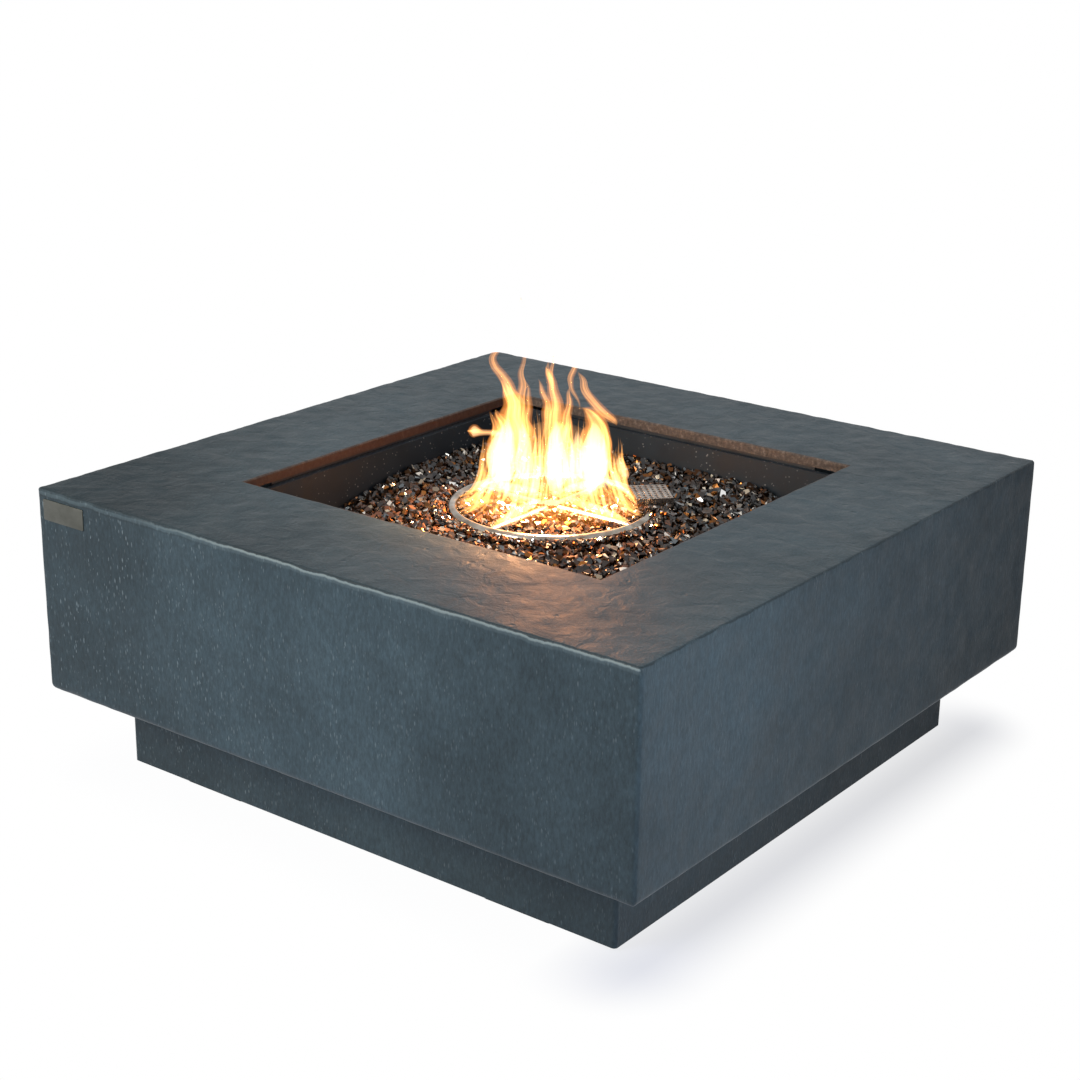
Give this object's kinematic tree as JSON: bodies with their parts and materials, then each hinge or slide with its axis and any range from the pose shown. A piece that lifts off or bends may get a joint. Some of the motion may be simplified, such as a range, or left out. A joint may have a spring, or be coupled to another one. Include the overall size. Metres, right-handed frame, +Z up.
{
  "type": "fire pit table",
  "caption": "Low square cast-concrete fire pit table on a recessed plinth, with a pan of fire glass, a ring burner, a push-and-turn gas valve and a push igniter.",
  "frame": {"origin": "on the floor, under the middle of the square table", "axes": "+Z up; -Y towards the front face; +Y towards the back wall with the controls"},
  "size_m": [1.067, 1.067, 0.445],
  "materials": {
    "cast_concrete": "matte",
    "plinth_concrete": "matte",
    "black_rubber": "matte",
    "frame_paint": "satin",
    "zinc_steel": "satin",
    "pan_enamel": "satin",
    "stainless": "satin",
    "mixer_steel": "satin",
    "fire_glass": "gloss",
    "white_ceramic": "gloss",
    "electrode_wire": "satin",
    "copper": "satin",
    "brass": "satin",
    "black_plastic": "matte",
    "battery_wrap": "gloss",
    "red_silicone": "matte"
  },
  "bodies": {
    "table": {"concrete_shell": "cast_concrete", "plinth": "plinth_concrete", "foot_pads": "black_rubber", "frame_long_bars": "frame_paint", "frame_cross_bars": "frame_paint", "shell_brackets": "frame_paint", "pan_rails": "frame_paint", "bracket_bolts": "zinc_steel", "bracket_nuts": "zinc_steel", "plinth_bolts": "zinc_steel", "rail_nuts": "zinc_steel", "valve_screws": "zinc_steel", "stem_spring": "zinc_steel", "button_spring": "zinc_steel", "igniter_nut": "zinc_steel", "burner_pan": "pan_enamel", "pan_plate": "pan_enamel", "burner_ring": "stainless", "burner_cross": "stainless", "burner_hub": "stainless", "hub_locknut": "stainless", "burner_stands": "stainless", "igniter_guard": "stainless", "pilot_bracket": "stainless", "control_tray": "stainless", "supply_hose": "stainless", "air_mixer": "mixer_steel", "fire_glass_bed": "fire_glass", "fire_glass_chips": "fire_glass", "electrode_insulator": "white_ceramic", "spark_electrode": "electrode_wire", "thermocouple": "copper", "inlet_tube": "copper", "thermocouple_lead": "copper", "gas_orifice": "brass", "valve_body": "brass", "hose_nuts": "brass", "inlet_fitting": "brass", "inlet_locknut": "brass", "igniter_module": "black_plastic", "igniter_battery": "battery_wrap", "ignition_lead": "red_silicone"},
    "push_carrier": {"stem_collar": "zinc_steel"},
    "knob": {"control_knob": "black_plastic", "valve_stem": "brass"},
    "button": {"igniter_button": "black_plastic"}
  },
  "joints": [
    {"name": "knob_push", "type": "slide", "parent": "table", "child": "push_carrier", "axis": [0, -1, 0], "range_m": [0, 0.004], "stiffness_N_per_m": 1200, "deforming": ["stem_spring"]},
    {"name": "knob_turn", "type": "hinge", "parent": "push_carrier", "child": "knob", "pos_m": [-0.042, 0.5, 0.29], "axis": [0, 1, 0], "range_deg": [0, 180]},
    {"name": "igniter_press", "type": "slide", "parent": "table", "child": "button", "axis": [0, -1, 0], "range_m": [0, 0.005], "stiffness_N_per_m": 800, "deforming": ["button_spring"]}
  ]
}
